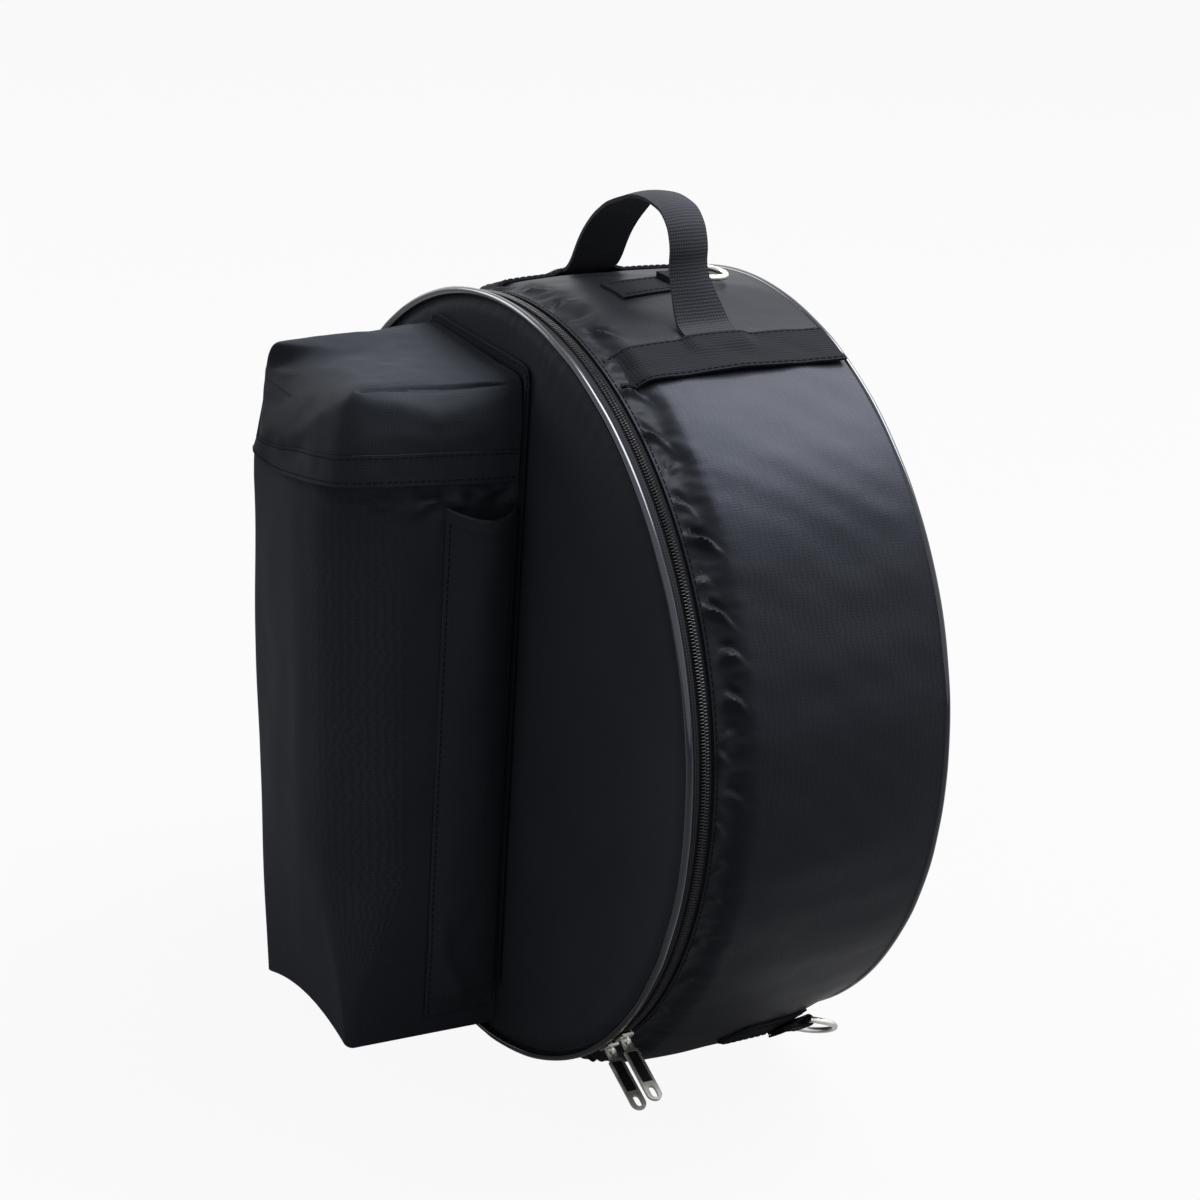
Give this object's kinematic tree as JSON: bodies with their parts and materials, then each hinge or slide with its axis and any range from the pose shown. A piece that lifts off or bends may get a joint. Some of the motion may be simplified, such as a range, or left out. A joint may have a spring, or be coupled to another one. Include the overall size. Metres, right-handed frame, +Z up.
{
  "type": "snare drum bag",
  "caption": "Round padded bag for a snare drum, standing on its rim, with a zipped front lid, a tall pocket with a flap, a slim side pocket, a top handle and strap rings.",
  "frame": {"origin": "middle of the flat that the bag stands on, halfway between its two piped rims", "axes": "+X across the lid towards the zip's sliders, -Y out of the lid's front, +Z up towards the handle"},
  "size_m": [0.39, 0.2498, 0.4385],
  "materials": {
    "black_oxford_cloth": "coarse coated weave",
    "black_webbing": "ribbed webbing",
    "black_lining": "smooth thin lining",
    "grey_foam": "closed-cell foam",
    "gloss_piping": "glossy vinyl piping",
    "zip_tape": "woven tape",
    "zip_coil": "nylon coil",
    "nickel": "bright nickel plate",
    "black_enamel": "black enamel",
    "hook_and_loop": "hook and loop pile"
  },
  "bodies": {
    "shell": {"gusset_cloth": "black_oxford_cloth", "gusset_foam": "grey_foam", "gusset_lining": "black_lining", "back_cloth": "black_oxford_cloth", "back_foam": "grey_foam", "back_lining": "black_lining", "rear_piping": "gloss_piping", "zip_tape_shell": "zip_tape", "zip_coil_shell": "zip_coil", "zip_stop_upper": "nickel", "zip_stop_lower": "nickel", "hinge_strip_shell": "black_oxford_cloth", "band_right": "black_webbing", "band_left": "black_webbing", "handle": "black_webbing", "patch_top": "black_webbing", "ring_tab_top": "black_webbing", "patch_right": "black_webbing", "ring_tab_right": "black_webbing", "patch_left": "black_webbing", "ring_tab_left": "black_webbing"},
    "lid": {"lid_cloth": "black_oxford_cloth", "lid_foam": "grey_foam", "lid_lining": "black_lining", "front_piping": "gloss_piping", "zip_tape_lid": "zip_tape", "zip_coil_lid": "zip_coil", "hinge_strip_lid": "black_oxford_cloth", "pocket_binding": "black_webbing", "pocket_body": "black_oxford_cloth", "pocket_loop_strip": "hook_and_loop", "side_pocket": "black_oxford_cloth", "side_pocket_hem": "black_webbing"},
    "flap": {"pocket_flap": "black_oxford_cloth", "flap_hem": "black_webbing", "flap_hook_strip": "hook_and_loop"},
    "top_ring": {"d_ring_top": "nickel"},
    "right_ring": {"d_ring_right": "nickel"},
    "left_ring": {"d_ring_left": "nickel"},
    "upper_slider": {"slider_upper": "nickel", "slider_bail_upper": "nickel"},
    "upper_pull": {"pull_upper": "nickel", "pull_insert_upper": "black_enamel"},
    "lower_slider": {"slider_lower": "nickel", "slider_bail_lower": "nickel"},
    "lower_pull": {"pull_lower": "nickel", "pull_insert_lower": "black_enamel"}
  },
  "joints": [
    {"name": "lid_hinge", "type": "hinge", "parent": "shell", "child": "lid", "pos_m": [-0.1953, -0.063, 0.1935], "axis": [0, 0, -1], "range_deg": [0, 120]},
    {"name": "flap_hinge", "type": "hinge", "parent": "lid", "child": "flap", "pos_m": [-0.0225, -0.0744, 0.3585], "axis": [-1, 0, 0], "range_deg": [0, 90]},
    {"name": "upper_slider_travel", "type": "hinge", "parent": "shell", "child": "upper_slider", "pos_m": [0, -0.063, 0.1935], "axis": [0, -1, 0], "range_deg": [0, 200.6]},
    {"name": "lower_slider_travel", "type": "hinge", "parent": "shell", "child": "lower_slider", "pos_m": [0, -0.063, 0.1935], "axis": [0, -1, 0], "range_deg": [-104.1, 0]},
    {"name": "upper_pull_swing", "type": "hinge", "parent": "upper_slider", "child": "upper_pull", "pos_m": [0.13734, -0.063, 0.05325], "axis": [0, -1, 0], "range_deg": [-8, 57]},
    {"name": "lower_pull_swing", "type": "hinge", "parent": "lower_slider", "child": "lower_pull", "pos_m": [0.1238, -0.063, 0.04116], "axis": [0, -1, 0], "range_deg": [-118, 5]},
    {"name": "top_ring_swing", "type": "hinge", "parent": "shell", "child": "top_ring", "pos_m": [0, 0.031, 0.3936], "axis": [1, 0, 0], "range_deg": [0, 150]},
    {"name": "right_ring_swing", "type": "hinge", "parent": "shell", "child": "right_ring", "pos_m": [0.1192, 0.052, 0.02943], "axis": [-0.809, 0, -0.5878], "range_deg": [-25, 125]},
    {"name": "left_ring_swing", "type": "hinge", "parent": "shell", "child": "left_ring", "pos_m": [-0.1192, 0.052, 0.02943], "axis": [-0.809, 0, 0.5878], "range_deg": [-25, 125]}
  ]
}
